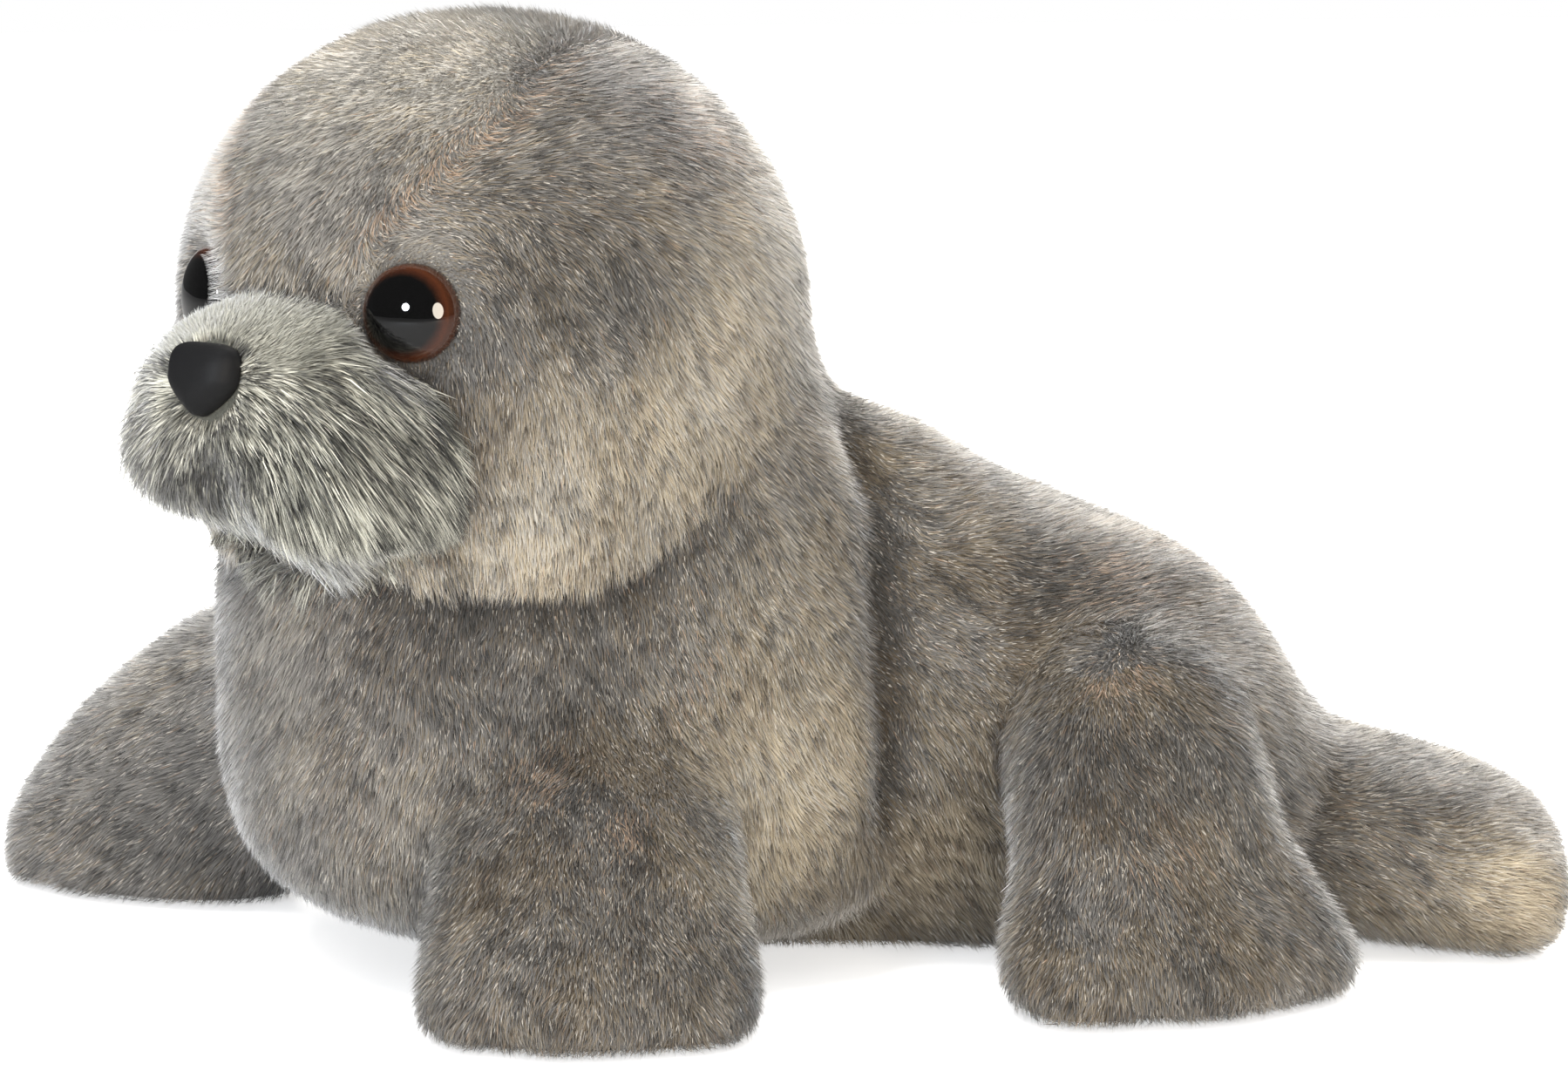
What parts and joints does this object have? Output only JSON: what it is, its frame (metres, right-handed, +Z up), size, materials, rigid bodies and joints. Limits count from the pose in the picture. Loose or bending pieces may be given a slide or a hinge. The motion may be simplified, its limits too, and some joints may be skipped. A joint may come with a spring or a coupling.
{
  "type": "plush seal",
  "caption": "Stuffed plush seal lying on its belly with its head raised and turned, long-pile muzzle, domed eyes and flippers spread on the floor.",
  "frame": {"origin": "on the floor under the middle of the rear belly, on the flat that the seal rests on", "axes": "-Y is where the chest faces, +Y is the tail end, +X is the seal's left, +Z is up"},
  "size_m": [0.1836, 0.3048, 0.1845],
  "materials": {
    "body_pile": "dense grey plush pile, mottled with cream",
    "head_pile": "dense grey and cream plush pile",
    "muzzle_pile": "long cream pile with dark tips",
    "flipper_pile": "dense grey-brown plush pile",
    "eye_plastic": "clear dome over a brown iris and black pupil",
    "nose_plastic": "matte charcoal",
    "washer_plastic": "natural white"
  },
  "bodies": {
    "root": {"torso": "body_pile", "head": "head_pile", "muzzle": "muzzle_pile", "nose": "nose_plastic", "nose_washer": "washer_plastic", "eye_left": "eye_plastic", "eye_right": "eye_plastic", "eye_washer_left": "washer_plastic", "eye_washer_right": "washer_plastic", "front_flipper_left": "flipper_pile", "front_flipper_right": "flipper_pile", "hind_flipper_left": "flipper_pile", "hind_flipper_right": "flipper_pile"}
  },
  "joints": []
}
